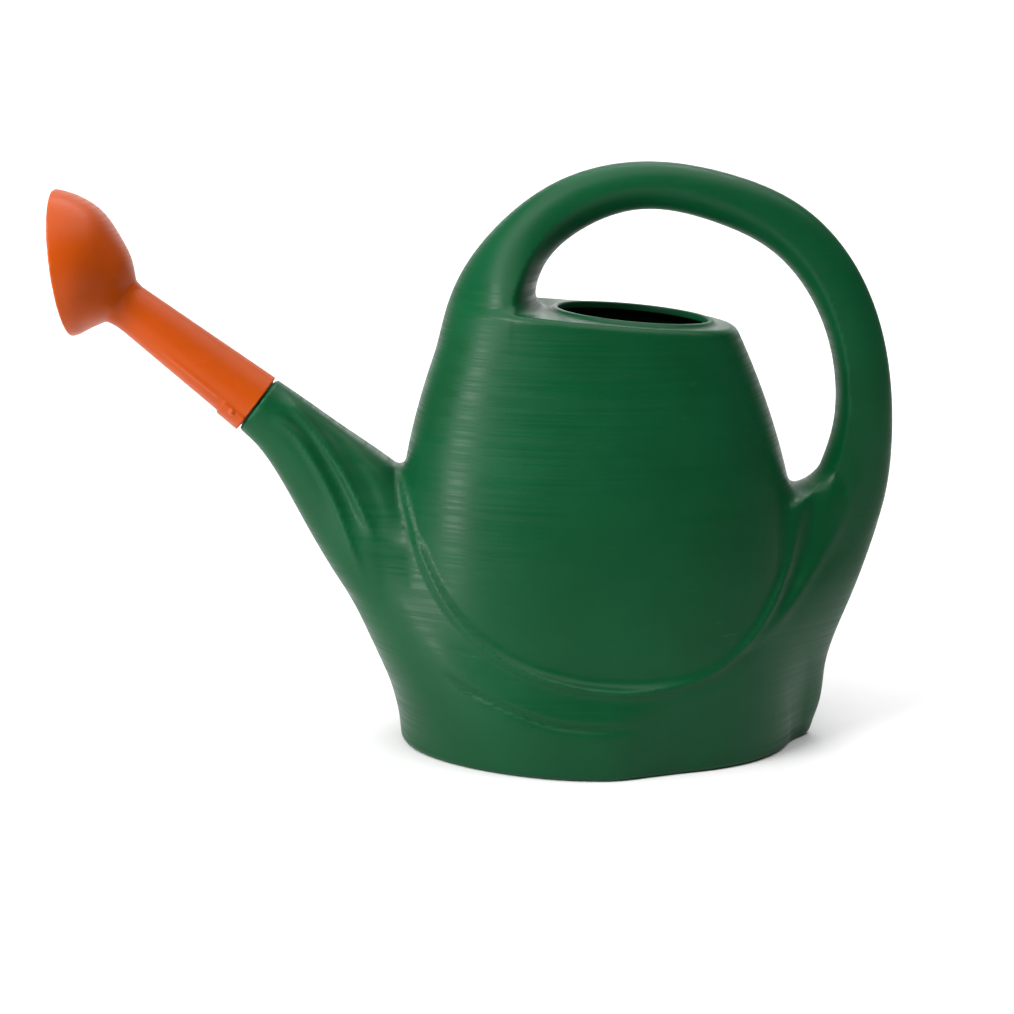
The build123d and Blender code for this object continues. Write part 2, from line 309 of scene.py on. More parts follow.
def handle_maps(x, z):
    """The handle's section through each point: the place in it, its sizes, fullness and fillet."""
    _, v, over, (depth, width, ridge) = HANDLE.nearest(x, z, HANDLE_REACH)
    outside = v - ridge * depth
    inner_side = ramp(-v / depth + 0.4 * ramp(x, 0, 100), 0.0, 0.9)
    return {
        "handle_v": outside,
        "handle_over": over,
        "handle_depth": np.where(outside > 0, 1 - ridge, 1 + ridge) * depth,
        "handle_width": width,
        "handle_power": np.where(outside > 0, 2.2 - 0.45 * ramp(width, 22, 50), 1.55),
        "handle_fillet": 3.0 + (9.0 + 5.0 * ramp(x, 60, 110)) * inner_side,
    }


def spout_maps(x, z):
    """The spout's section through each point: the place in it, its sizes, fullness and fillet."""
    _, v, _, (depth, width) = SPOUT.nearest(x, z, SPOUT_REACH)
    return {
        "spout_v": v,
        "spout_depth": depth,
        "spout_width": width,
        "spout_power": np.where(v > 0, 2.2 + 0.7 * ramp(x, -228, -190), 2.2),
        "spout_fillet": 2.0 + 6.5 * ramp(v / depth, -0.6, 0.6),
        "tip_along": along_spout(x, z),
    }


def flank_relief(x, z, along, edge):
    """Height of the bead and cove on the sling's edge, and of the flank's ridges and grooves."""
    ends = ramp(along, 4, 34) * ramp(SLING_EDGE.knots[-1] - along, 20, 70)
    front_share = ramp(-x, -60, 90)
    bead = bump(edge + 0.8, 2.1)
    depth = (1.0 + 1.7 * front_share) * (1 - ramp(-edge, 5.0, 15.0 + 14.0 * front_share))
    cove = depth * ramp(-edge, -1.0, 7.0)
    return (bead - cove) * ends + sum(relief.at(x, z) for relief in RELIEFS)


def side_maps(x, z):
    """All that the can's field needs at points of the middle plane."""
    maps = {"x": x, "z": z, **handle_maps(x, z), **spout_maps(x, z)}
    front, rear, maps["tank_half"], power = TANK.at(z)
    maps["tank_along"], maps["tank_power"] = plan_part(x, front, rear, power, power)
    front, rear, maps["sling_half"], front_power, rear_power = SLING.at(z)
    maps["sling_along"], maps["sling_power"] = plan_part(x, front, rear, front_power, rear_power)
    along, maps["edge"], _, _ = SLING_EDGE.nearest(x, z)
    maps["shoulder"] = SHOULDER.nearest(x, z)[1]
    maps["deck"] = (z - DECK_Z) * math.cos(DECK_TILT) + (x - DECK_X) * math.sin(DECK_TILT)
    maps["sling_fillet"] = 7.0 + 10.0 * ramp(x, 85, 115) * ramp(z, 125, 165)
    maps["relief"] = flank_relief(x, z, along, maps["edge"])
    return maps


def radial(reach, size):
    """Distance to a surface along the ray from its middle, for points size times as far out."""
    return reach * (1 - 1 / np.maximum(size, TINY))


def ring_field(along, across, power, reach_x, y):
    """Radial distance to a plan outline."""
    size = (along + across ** power) ** (1 / power)
    return radial(np.hypot(reach_x, y), size)


def tank_field(maps, y):
    """The upright tank under its sloping deck."""
    across = y / maps["tank_half"]
    tank = ring_field(maps["tank_along"], across, maps["tank_power"], maps["x"] - MIDDLE_X, y)
    return meet(tank, maps["deck"], TOP_ROUND)


def sling_plan(maps, y):
    """The sling's plan outline at each height, its stern blunted at the middle plane."""
    across = y * (1 - np.exp(-y / STERN_WIDTH)) / maps["sling_half"]
    return ring_field(maps["sling_along"], across, maps["sling_power"], maps["x"] - MIDDLE_X, y)


def sling_field(maps, plan):
    """The sling that the tank sits in, which runs out to the spout and up to the handle."""
    sling = meet(plan, maps["edge"], EDGE_ROUND)
    sling = meet(sling, maps["shoulder"], SHOULDER_ROUND)
    return meet(sling, maps["z"] - SADDLE_HEIGHT, SADDLE_ROUND)


def spout_field(maps, y):
    """The spout's cone, cut square where the turned tip begins."""
    power = maps["spout_power"]
    v = maps["spout_v"] / maps["spout_depth"]
    size = (np.abs(v) ** power + (y / maps["spout_width"]) ** power) ** (1 / power)
    return meet(radial(np.hypot(maps["spout_v"], y), size), maps["tip_along"], SPOUT_END_ROUND)


def handle_field(maps, y):
    """The hoop handle with its side ridge."""
    power = maps["handle_power"]
    v, over = maps["handle_v"], maps["handle_over"]
    shares = (v / np.maximum(maps["handle_depth"], 1.0), y / maps["handle_width"], over / HANDLE_CAP)
    size = sum(np.abs(share) ** power for share in shares) ** (1 / power)
    return radial(np.sqrt(v ** 2 + y ** 2 + over ** 2), size)


def can_field(maps, y):
    """Signed distance, roughly, to the outside of the can: negative inside the plastic."""
    y = np.abs(y)
    plan = sling_plan(maps, y)
    body = join(tank_field(maps, y), sling_field(maps, plan), maps["sling_fillet"])
    body = join(body, spout_field(maps, y), maps["spout_fillet"])
    body = join(body, handle_field(maps, y), maps["handle_fillet"])
    body = body - maps["relief"] * ramp(y, RELIEF_FROM, RELIEF_FULL)
    body = meet(body, -maps["z"], FOOT_ROUND)
    recess = np.maximum(plan + FOOT_WIDTH, maps["z"] - RECESS_DEPTH)
    return meet(body, -recess, RECESS_ROUND)


def space_field(maps, y):
    """Signed distance, roughly, to the water space, a wall's thickness inside the can."""
    return can_field(maps, y) + WALL


CAN, SPACE = (side_maps, can_field), (side_maps, space_field)

# ---------------------------------------------------------------- shape of the rose

SLEEVE_STAND_OFF, SLEEVE_END = 1.2, 113.2
SLEEVE_RADIUS, NECK_RADIUS, ROSE_WALL = 21.5, 15.7, 2.2
PAD_END, PAD_HEIGHT, PAD_HALF_ANGLE = 19.2, 1.5, math.radians(65)
KNOB_ALONG, KNOB_ANGLE, KNOB_RADIUS = 11.0, math.radians(58), 2.4
RIB_WIDTH, RIB_HEIGHT, RIB_END = 1.7, 1.1, 98.0
FACE, FACE_TILT = np.array([-372.0, 332.0]), math.radians(5.6)
SEAT_RADIUS, SEAT_DEPTH, SPACE_PAST_FACE = 47.6, 7.4, 4
# x, z, climb of the section's axis, half depth, half width.
BELL = np.array([
    (-318, 295.0, 38, 11.5, 11.5),
    (-331.2, 304.6, 33, 15.3, 15.6),
    (-335.3, 313.0, 23.6, 23.0, 25),
    (-341.9, 319.6, 15.6, 31.2, 34),
    (-351.3, 326.6, 8.3, 40.7, 43),
    (-362.7, 331, -1, 47.3, 48.3),
    (-372, 332, -5.6, 50, 50),
    (-390, 330, -6, 51, 51),
])
BELL_KNOTS = np.concatenate([[0.0], np.cumsum(np.hypot(*(BELL[1:, :2] - BELL[:-1, :2]).T))])
BELL_BENDS = natural_bends(BELL_KNOTS, BELL)
BELL_TRIALS = 90


def bell_maps(x, z):
    """The bell's section through each point, between the two trial sections on either side of it."""
    points = np.stack([np.ravel(x), np.ravel(z)], 1)
    trial = np.linspace(0, BELL_KNOTS[-1], BELL_TRIALS)
    value = spline_values(BELL_KNOTS, BELL, BELL_BENDS, trial)[0]
    climb = np.radians(value[:, 2])
    way = np.stack([-np.cos(climb), np.sin(climb)], 1)
    ahead = points @ way.T - (value[:, :2] * way).sum(1)
    spot = np.clip((ahead > 0).sum(1) - 1, 0, len(trial) - 2)
    rows = np.arange(len(points))
    low, high = ahead[rows, spot], ahead[rows, spot + 1]
    share = np.clip(low / np.where(np.abs(low - high) > 1e-9, low - high, 1.0), 0.0, 1.0)
    s = trial[spot] + share * (trial[1] - trial[0])
    value, slope, _ = spline_values(BELL_KNOTS, BELL, BELL_BENDS, s)
    climb = np.radians(value[:, 2])
    gap = points - value[:, :2]
    return {
        "bell_v": (gap[:, 0] * np.sin(climb) + gap[:, 1] * np.cos(climb)).reshape(x.shape),
        "bell_before": -ahead[:, 0].reshape(x.shape),
        "bell_depth": value[:, 3].reshape(x.shape),
        "bell_width": value[:, 4].reshape(x.shape),
        "bell_steep": np.sqrt(1 + slope[:, 3] ** 2).reshape(x.shape),
    }


def rose_maps(x, z):
    """Places along and across the sleeve, before the face, and in the bell."""
    across = (x - SPOUT_END[0]) * SPOUT_AXIS[1] - (z - SPOUT_END[1]) * SPOUT_AXIS[0]
    face = -(x - FACE[0]) * math.cos(FACE_TILT) - (z - FACE[1]) * math.sin(FACE_TILT)
    return {"along": along_spout(x, z), "across": across, "face": face, **bell_maps(x, z)}


def bell_field(maps, y):
    """The bell, open ended: its oval sections stand square to a curved axis."""
    size = np.hypot(maps["bell_v"] / maps["bell_depth"], y / maps["bell_width"])
    field = radial(np.hypot(maps["bell_v"], y), size) / maps["bell_steep"]
    return meet(field, maps["bell_before"], 1.0)


def sleeve_radius(along):
    """Outer radius of the sleeve, which tapers evenly from the spout's end to the neck."""
    taper = (SLEEVE_RADIUS - NECK_RADIUS) * (along - SLEEVE_STAND_OFF) / (SLEEVE_END - SLEEVE_STAND_OFF)
    return SLEEVE_RADIUS - taper


def sleeve_field(maps, y):
    """The tapered sleeve with its two ribs, the pad over the keyway and the knobs beside it."""
    along, across = maps["along"], maps["across"]
    radius = np.hypot(across, y)
    angle = np.arctan2(np.abs(y), -across)
    side = sleeve_radius(along)
    round_place = (angle - PAD_HALF_ANGLE) * radius
    rib = bump(round_place, RIB_WIDTH) * ramp(along, 14, 30) * ramp(RIB_END - along, 0, 50)
    ends = np.maximum(SLEEVE_STAND_OFF - along, along - SLEEVE_END - 1)
    cone = meet(radius - side - RIB_HEIGHT * rib, ends, 0.7)
    pad = meet(radius - side - PAD_HEIGHT, np.maximum(SLEEVE_STAND_OFF - along, along - PAD_END), 0.7)
    pad = meet(pad, round_place, 1.2)
    reach = side + 0.8
    knob_y, knob_across = reach * math.sin(KNOB_ANGLE), -reach * math.cos(KNOB_ANGLE)
    knob = np.sqrt((along - KNOB_ALONG) ** 2 + (across - knob_across) ** 2 + (np.abs(y) - knob_y) ** 2)
    return join(join(cone, pad, 1.0), knob - KNOB_RADIUS, 0.8)


def rose_field(maps, y):
    """Signed distance, roughly, to the outside of the rose, its face closed."""
    bell = meet(bell_field(maps, y), maps["face"], 1.1)
    return join(sleeve_field(maps, y), bell, 4.0)


def bell_space_field(maps, y):
    """Signed distance, roughly, to the water space behind the plate."""
    return meet(bell_field(maps, y) + ROSE_WALL, maps["face"] - SPACE_PAST_FACE, 1.0)


ROSE, BELL_SPACE = (rose_maps, rose_field), (rose_maps, bell_space_field)


# ---------------------------------------------------------------- field to mesh

# Face marks that outlast a Boolean.
OUTSIDE, INSIDE, TURNED = range(3)
MARKS = [bpy.data.materials.new("mark_" + name) for name in ("outside", "inside", "turned")]
# Cells a block side in the first, rough look at a field, how near the surface a block is worked out,
# and the value that stands in everywhere else.
COARSE, NEAR_SHARE, PLAINLY_OFF = 4, 2.6, 99.0


def sample_grid(shape, low, high, step):
    """Field values on a grid over one half of a shape, worked out only near its surface."""
    maps_at, field = shape
    counts = [int(math.ceil((high[i] - low[i]) / step / COARSE)) * COARSE for i in range(3)]
    axes = [low[i] + step * np.arange(counts[i]) for i in range(3)]
    maps = maps_at(*np.meshgrid(axes[0], axes[2], indexing="ij"))
    middles = [a.reshape(-1, COARSE).mean(1) for a in axes]
    coarse_maps = maps_at(*np.meshgrid(middles[0], middles[2], indexing="ij"))
    rough = field({k: m[:, None, :] for k, m in coarse_maps.items()}, middles[1][None, :, None])
    near = np.abs(rough) < NEAR_SHARE * step * COARSE
    values = np.where(rough > 0, PLAINLY_OFF, -PLAINLY_OFF).astype(np.float32)
    for axis in range(3):
        values = np.repeat(values, COARSE, axis)
        near = np.repeat(near, COARSE, axis)
    i, j, k = np.nonzero(near)
    picked = {key: m[i, k] for key, m in maps.items()}
    values[i, j, k] = field(picked, axes[1][j])
    return values, axes


def surface_net(values, axes):
    """Quads of a surface net over one half, whose first layer of cells straddles the middle plane."""
    inside = values < 0
    step = axes[0][1] - axes[0][0]
    corners = [(a, b, c) for a in (0, 1) for b in (0, 1) for c in (0, 1)]
    wide, deep, high = [size - 1 for size in inside.shape]
    count = sum(inside[a:a + wide, b:b + deep, c:c + high].astype(np.int8) for a, b, c in corners)
    cells = np.argwhere((count > 0) & (count < 8))
    ids = np.full(count.shape, -1, np.int32)
    ids[tuple(cells.T)] = np.arange(len(cells))
    corner_values = np.stack([values[tuple((cells + corner).T)] for corner in corners], 1)
    total = np.zeros((len(cells), 3))
    hits = np.zeros(len(cells))
    for a, first in enumerate(corners):
        for b, second in enumerate(corners):
            if b <= a or sum(abs(p - q) for p, q in zip(first, second)) != 1:
                continue
            va, vb = corner_values[:, a], corner_values[:, b]
            crossed = (va < 0) != (vb < 0)
            share = np.where(crossed, va / np.where(crossed, va - vb, 1.0), 0.0)
            point = np.array(first) + share[:, None] * (np.array(second) - np.array(first))
            total += point * crossed[:, None]
            hits += crossed
    points = np.array([axes[0][0], axes[1][0], axes[2][0]]) + step * (cells + total / hits[:, None])
    points[cells[:, 1] == 0, 1] = 0.0
    return points, net_quads(inside, ids)


def net_quads(inside, ids):
    """A quad round each grid edge that crosses the surface, joining its four cells' points."""
    quads = []
    for axis in range(3):
        one, two = [k for k in range(3) if k != axis]
        low = np.take(inside, range(inside.shape[axis] - 1), axis)
        high = np.take(inside, range(1, inside.shape[axis]), axis)
        edges = np.argwhere(low != high)
        edges = edges[(edges[:, one] > 0) & (edges[:, two] > 0)]
        edges = edges[(edges[:, one] < inside.shape[one] - 1) & (edges[:, two] < inside.shape[two] - 1)]
        if axis == 1:
            edges = edges[edges[:, 1] > 0]
        out = low[tuple(edges.T)]
        ring = []
        for a, b in ((0, 0), (1, 0), (1, 1), (0, 1)):
            cell = edges.copy()
            cell[:, one] -= 1 - a
            cell[:, two] -= 1 - b
            ring.append(ids[tuple(cell.T)])
        ring = np.stack(ring, 1)
        flip = out == (axis == 1)
        ring[flip] = ring[flip][:, ::-1]
        quads.append(ring)
    return np.concatenate(quads)


def field_slope(shape, points, step=0.05):
    """Field and its gradient at points."""
    maps_at, field = shape
    x, y, z = points.T
    maps = maps_at(x, z)
    value = field(maps, y)
    slope = np.empty_like(points)
    slope[:, 1] = (field(maps, y + step) - field(maps, y - step)) / (2 * step)
    slope[:, 0] = (field(maps_at(x + step, z), y) - value) / step
    slope[:, 2] = (field(maps_at(x, z + step), y) - value) / step
    return value, slope


def settle(shape, points, rounds=2):
    """Moves points onto a shape's zero surface."""
    for _ in range(rounds):
        value, slope = field_slope(shape, points)
        length = np.maximum((slope ** 2).sum(1), 0.05)
        shift = -(value / length)[:, None] * slope
        size = np.linalg.norm(shift, axis=1, keepdims=True)
        shift *= np.minimum(1.0, 1.5 / np.maximum(size, 1e-9))
        middle = points[:, 1] == 0
        points = points + shift
        points[middle, 1] = 0.0
    return points


def both_halves(points, quads):
    """Adds the mirrored half, sharing the points of the middle plane."""
    middle = points[:, 1] == 0
    other = np.where(middle, np.arange(len(points)), 0)
    other[~middle] = len(points) + np.arange((~middle).sum())
    mirrored = points[~middle] * (1, -1, 1)
    return np.concatenate([points, mirrored]), np.concatenate([quads, other[quads][:, ::-1]])


def quad_mesh(name, points, quads):
    """Mesh object of quads, its points given in millimetres."""
    mesh = bpy.data.meshes.new(name)
    mesh.vertices.add(len(points))
    mesh.vertices.foreach_set("co", (points * MM).ravel())
    mesh.loops.add(quads.size)
    mesh.loops.foreach_set("vertex_index", quads.ravel())
    mesh.polygons.add(len(quads))
    mesh.polygons.foreach_set("loop_start", np.arange(0, quads.size, 4))
    mesh.polygons.foreach_set("loop_total", np.full(len(quads), 4))
    mesh.update(calc_edges=True)
    mesh.validate()
    piece = bpy.data.objects.new(name, mesh)
    bpy.context.scene.collection.objects.link(piece)
    return piece


def field_piece(name, shape, low, high, step, slot):
    """Closed mesh of a shape, its faces marked with slot."""
    values, axes = sample_grid(shape, (low[0], -step / 2, low[1]), high, step)
    points, quads = surface_net(values, axes)
    piece = quad_mesh(name, *both_halves(settle(shape, points), quads))
    for mark in MARKS:
        piece.data.materials.append(mark)
    piece.data.polygons.foreach_set("material_index", np.full(len(piece.data.polygons), slot, np.int32))
    return piece


# ---------------------------------------------------------------- lathe work and cutting


BOX_CORNERS = ((0, 0, 0), (1, 0, 0), (1, 1, 0), (0, 1, 0), (0, 0, 1), (1, 0, 1), (1, 1, 1), (0, 1, 1))
BOX_FACES = [(0, 1, 2, 3), (4, 5, 6, 7), (0, 1, 5, 4), (1, 2, 6, 5), (2, 3, 7, 6), (3, 0, 4, 7)]
CREASE_ANGLE = math.radians(35)


def turned(name, profile, place, axis, segments):
    """Closed solid of revolution: profile is (distance along the axis, radius), from axis to axis."""
    axis = np.asarray(axis, float)
    side = np.array([0.0, 1.0, 0.0])
    other = np.cross(axis, side)
    turns = np.arange(segments) * 2 * math.pi / segments
    around = np.cos(turns)[:, None] * side + np.sin(turns)[:, None] * other
    rings = [place + axis * along + around * radius for along, radius in profile[1:-1]]
    points = np.concatenate(rings + [[place + axis * profile[0][0]], [place + axis * profile[-1][0]]])
    faces = []
    for ring in range(len(rings) - 1):
        for turn in range(segments):
            following = (turn + 1) % segments
            low, high = ring * segments, (ring + 1) * segments
            faces.append((low + turn, low + following, high + following, high + turn))
    first, last = len(points) - 2, len(points) - 1
    top = (len(rings) - 1) * segments
    for turn in range(segments):
        following = (turn + 1) % segments
        faces.append((first, following, turn))
        faces.append((last, top + turn, top + following))
    return solid(name, points, faces)


def box(name, low, high, place, axis):
    """Block from low to high, measured along the axis, along Y and across both."""
    axis = np.asarray(axis, float)
    ways = (axis, np.array([0.0, 1.0, 0.0]), np.cross((0.0, 1.0, 0.0), axis))
    points = []
    for picks in BOX_CORNERS:
        sizes = [(low, high)[pick][k] for k, pick in enumerate(picks)]
        points.append(place + sum(way * size for way, size in zip(ways, sizes)))
    return solid(name, np.array(points), BOX_FACES)


def solid(name, points, faces):
    """Closed mesh with its faces turned outwards and marked as lathe work."""
    mesh = bpy.data.meshes.new(name)
    mesh.from_pydata((points * MM).tolist(), [], faces)
    bm = bmesh.new()
    bm.from_mesh(mesh)
    bmesh.ops.recalc_face_normals(bm, faces=bm.faces)
    for face in bm.faces:
        face.material_index = TURNED
        face.smooth = True
    bm.to_mesh(mesh)
    bm.free()
    piece = bpy.data.objects.new(name, mesh)
    bpy.context.scene.collection.objects.link(piece)
    for mark in MARKS:
        mesh.materials.append(mark)
    return piece


def cut(piece, tool, operation="DIFFERENCE"):
    """Applies one Boolean and deletes its tool."""
    modifier = piece.modifiers.new("cut", "BOOLEAN")
    modifier.operation = operation
    modifier.object = tool
    modifier.solver = "MANIFOLD"
    apply_modifiers(piece)
    bpy.data.objects.remove(tool)


def apply_modifiers(piece):
    """Gives the piece the mesh that its modifiers make."""
    graph = bpy.context.evaluated_depsgraph_get()
    mesh = bpy.data.meshes.new_from_object(piece.evaluated_get(graph))
    old = piece.data
    piece.modifiers.clear()
    piece.data = mesh
    bpy.data.meshes.remove(old)


def shade(piece, outer, inner):
    """Shades each vertex by the slope of the field that its face came from."""
    mesh = piece.data
    count = len(mesh.vertices)
    points = np.empty(count * 3)
    mesh.vertices.foreach_get("co", points)
    points = points.reshape(-1, 3) / MM
    slots = np.empty(len(mesh.polygons), np.int32)
    mesh.polygons.foreach_get("material_index", slots)
    totals = np.empty(len(mesh.polygons), np.int32)
    mesh.polygons.foreach_get("loop_total", totals)
    loop_slots = np.repeat(slots, totals)
    loop_vertices = np.empty(len(mesh.loops), np.int32)
    mesh.loops.foreach_get("vertex_index", loop_vertices)
    normals = np.zeros((len(mesh.loops), 3))
    for slot, shape, sign in ((OUTSIDE, outer, 1.0), (INSIDE, inner, -1.0)):
        used = np.unique(loop_vertices[loop_slots == slot])
        slope = field_slope(shape, points[used])[1] * sign
        slope /= np.maximum(np.linalg.norm(slope, axis=1, keepdims=True), 1e-9)
        table = np.zeros((count, 3))
        table[used] = slope
        chosen = loop_slots == slot
        normals[chosen] = table[loop_vertices[chosen]]
    mesh.polygons.foreach_set("use_smooth", np.ones(len(mesh.polygons), bool))
    mark_creases(mesh)
    mesh.normals_split_custom_set(normals.tolist())


def mark_creases(mesh):
    """Sharp edges where faces of different marks meet or where the lathe work turns sharply."""
    bm = bmesh.new()
    bm.from_mesh(mesh)
    for edge in bm.edges:
        faces = edge.link_faces
        if len(faces) == 2:
            marks = {face.material_index for face in faces}
            bend = edge.calc_face_angle(0.0)
            edge.smooth = not (len(marks) > 1 or (TURNED in marks and bend > CREASE_ANGLE))
    bm.to_mesh(mesh)
    bm.free()


# ---------------------------------------------------------------- boxes and profiles

# Grid steps, which keep the can's mesh under 200,000 triangles.
OUTER_STEP, INNER_STEP, ROSE_STEP = 2.5, 5.5, 1.4

# Low corner (x, z) and high corner (x, y, z) of the space that each shape is looked for in.
CAN_BOX = (-260, -4), (203, 115, 408)
ROSE_BOX = (-382, 208), (-222, 57, 388)
BELL_BOX = (-384, 270), (-300, 54, 392)

# Where lathe work stands, and the way that its axis points.
SPOUT_PLACE = np.array([SPOUT_END[0], 0.0, SPOUT_END[1]])
SPOUT_WAY = np.array([SPOUT_AXIS[0], 0.0, SPOUT_AXIS[1]])
DECK_PLACE = np.array([DECK_X, 0.0, DECK_Z])
DECK_WAY = np.array([math.sin(DECK_TILT), 0.0, math.cos(DECK_TILT)])
FACE_PLACE = np.array([FACE[0], 0.0, FACE[1]])
FACE_WAY = np.array([-math.cos(FACE_TILT), 0.0, -math.sin(FACE_TILT)])
TIP_SEGMENTS, MOUTH_SEGMENTS, SEAT_SEGMENTS = 96, 160, 144

# Profiles of the lathe work: distance along the axis and radius, from axis to axis.
TIP_PROFILE = [
    (-12, 0), (-12, TIP_ROOT), (0, TIP_ROOT), (TIP_LENGTH - 1, TIP_END + 0.05),
    (TIP_LENGTH - 0.3, TIP_END - 0.3), (TIP_LENGTH, TIP_END - 1), (TIP_LENGTH, 0),
]
BORE_PROFILE = [(-14, 0), (-14, TIP_BORE), (TIP_LENGTH + 5, TIP_BORE), (TIP_LENGTH + 5, 0)]
RIM_PROFILE = [
    (-3, 0), (-3, 60.0), (-0.7, 60.0), (-0.1, 58.8), (0.3, 57.4), (0.8, 56.3), (1.5, 55.6),
    (2.1, 54.9), (2.35, 54.1), (RIM_HEIGHT, 53.3), (RIM_HEIGHT, 0),
]
MOUTH_PROFILE = [
    (-10, 0), (-10, MOUTH_RADIUS), (1.3, MOUTH_RADIUS), (1.9, MOUTH_RADIUS + 0.25),
    (2.3, MOUTH_RADIUS + 0.8), (RIM_HEIGHT, MOUTH_RADIUS + 1.5), (9, MOUTH_RADIUS + 1.5), (9, 0),
]

# Play between the spout's tip and the socket, at the root and at the end, and round the key.
ROOT_PLAY, END_PLAY, KEY_SIDE_PLAY, KEY_PLAY = 0.45, 0.4, 0.35, 0.4
SOCKET_END = TIP_LENGTH + 0.6
SOCKET_PROFILE = [
    (-3, 0), (-3, TIP_ROOT + ROOT_PLAY), (0, TIP_ROOT + ROOT_PLAY), (SOCKET_END, TIP_END + END_PLAY),
    (SOCKET_END + 0.1, TIP_BORE + 0.3), (SLEEVE_END + 3, NECK_RADIUS - ROSE_WALL), (SLEEVE_END + 3.1, 0),
]
SEAT_PROFILE = [
    (-SEAT_DEPTH, 0), (-SEAT_DEPTH, SEAT_RADIUS), (-0.7, SEAT_RADIUS), (0.1, SEAT_RADIUS + 0.8),
    (6, SEAT_RADIUS + 0.8), (6, 0),
]
KEY_BOX = (KEY_START, -KEY_WIDTH / 2, -TIP_ROOT - KEY_HEIGHT), (KEY_END, KEY_WIDTH / 2, -TIP_END)
KEYWAY_BOX = (
    (-3, -KEY_WIDTH / 2 - KEY_SIDE_PLAY, -TIP_ROOT - KEY_HEIGHT - KEY_PLAY),
    (KEY_END + KEY_PLAY, KEY_WIDTH / 2 + KEY_SIDE_PLAY, 0),
)

# ---------------------------------------------------------------- the can

can = field_piece("can_shell", CAN, *CAN_BOX, OUTER_STEP, OUTSIDE)
space = field_piece("water_space", SPACE, *CAN_BOX, INNER_STEP, INSIDE)
cut(can, turned("tip", TIP_PROFILE, SPOUT_PLACE, SPOUT_WAY, TIP_SEGMENTS), "UNION")
cut(can, box("key", *KEY_BOX, SPOUT_PLACE, SPOUT_WAY), "UNION")
cut(can, turned("rim", RIM_PROFILE, DECK_PLACE, DECK_WAY, MOUTH_SEGMENTS), "UNION")
cut(can, space)
cut(can, turned("mouth", MOUTH_PROFILE, DECK_PLACE, DECK_WAY, MOUTH_SEGMENTS))
cut(can, turned("bore", BORE_PROFILE, SPOUT_PLACE, SPOUT_WAY, TIP_SEGMENTS))
shade(can, CAN, SPACE)
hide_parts("tank", "spout", "handle")
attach(can, "can")

# ---------------------------------------------------------------- the rose

rose = field_piece("rose_shell", ROSE, *ROSE_BOX, ROSE_STEP, OUTSIDE)
cut(rose, field_piece("bell_space", BELL_SPACE, *BELL_BOX, ROSE_STEP * 2, INSIDE))
cut(rose, turned("socket", SOCKET_PROFILE, SPOUT_PLACE, SPOUT_WAY, TIP_SEGMENTS))
cut(rose, box("keyway", *KEYWAY_BOX, SPOUT_PLACE, SPOUT_WAY))
cut(rose, turned("seat", SEAT_PROFILE, FACE_PLACE, FACE_WAY, SEAT_SEGMENTS))
shade(rose, ROSE, BELL_SPACE)
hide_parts("rose_body")
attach(rose, "rose")

# ---------------------------------------------------------------- materials


class Nodes:
    """Short calls for building one material's nodes."""

    def __init__(self, name):
        self.material = bpy.data.materials.new(name)
        self.material.use_nodes = True
        self.tree = self.material.node_tree
        self.shader = self.tree.nodes["Principled BSDF"]

    def add(self, kind, settings=(), **inputs):
        """New node with its settings, and its sockets fed by name."""
        node = self.tree.nodes.new(kind)
        for key, value in dict(settings).items():
            setattr(node, key, value)
        for key, value in inputs.items():
            self.feed(node.inputs[key], value)
        return node

    def feed(self, socket, value):
        """Links a socket to another node's, or sets its value."""
        if isinstance(value, bpy.types.NodeSocket):
            self.tree.links.new(value, socket)
        else:
            socket.default_value = value

    def maths(self, operation, *values, clamp=False):
        """Sum or product of values, or another of the maths node's operations."""
        node = self.add("ShaderNodeMath", {"operation": operation, "use_clamp": clamp})
        for socket, value in zip(node.inputs, values):
            self.feed(socket, value)
        return node.outputs[0]

    def noise(self, vector, scale, detail=3.0, roughness=0.55):
        """Cloudy noise, about 0.5 in the middle."""
        node = self.add("ShaderNodeTexNoise", Vector=vector, Scale=scale, Detail=detail, Roughness=roughness)
        return node.outputs["Fac"]

    def stretch(self, vector, x, y, z):
        """Places scaled along each axis, so that noise on them is drawn out along the least scaled."""
        return self.add("ShaderNodeMapping", Vector=vector, Scale=(x, y, z)).outputs["Vector"]

    def band(self, value, low, high, start=0.0, end=1.0):
        """Smooth step of value from start below low to end above high."""
        node = self.add("ShaderNodeMapRange", {"interpolation_type": "SMOOTHSTEP"})
        for socket, number in zip(node.inputs, (value, low, high, start, end)):
            self.feed(socket, number)
        return node.outputs[0]

    def blend(self, share, first, second):
        """Colour between first, at a share of 0, and second, at 1."""
        node = self.add("ShaderNodeMix", {"data_type": "RGBA"})
        self.feed(node.inputs["Factor"], share)
        self.feed(node.inputs[6], first)
        self.feed(node.inputs[7], second)
        return node.outputs[2]

    def bump(self, height, depth, normal=None):
        """Bump whose height of 1 stands depth metres proud."""
        node = self.add("ShaderNodeBump", Height=height, Strength=1.0, Distance=depth)
        if normal is not None:
            self.feed(node.inputs["Normal"], normal)
        return node.outputs["Normal"]


# Metres: how deep the scuffs are, and how wide and proud the parting seam in the middle plane is.
SCUFF_DEPTH, SEAM_HALF_WIDTHS, SEAM_HEIGHT = 0.00001, (0.0002, 0.0006), 0.00012


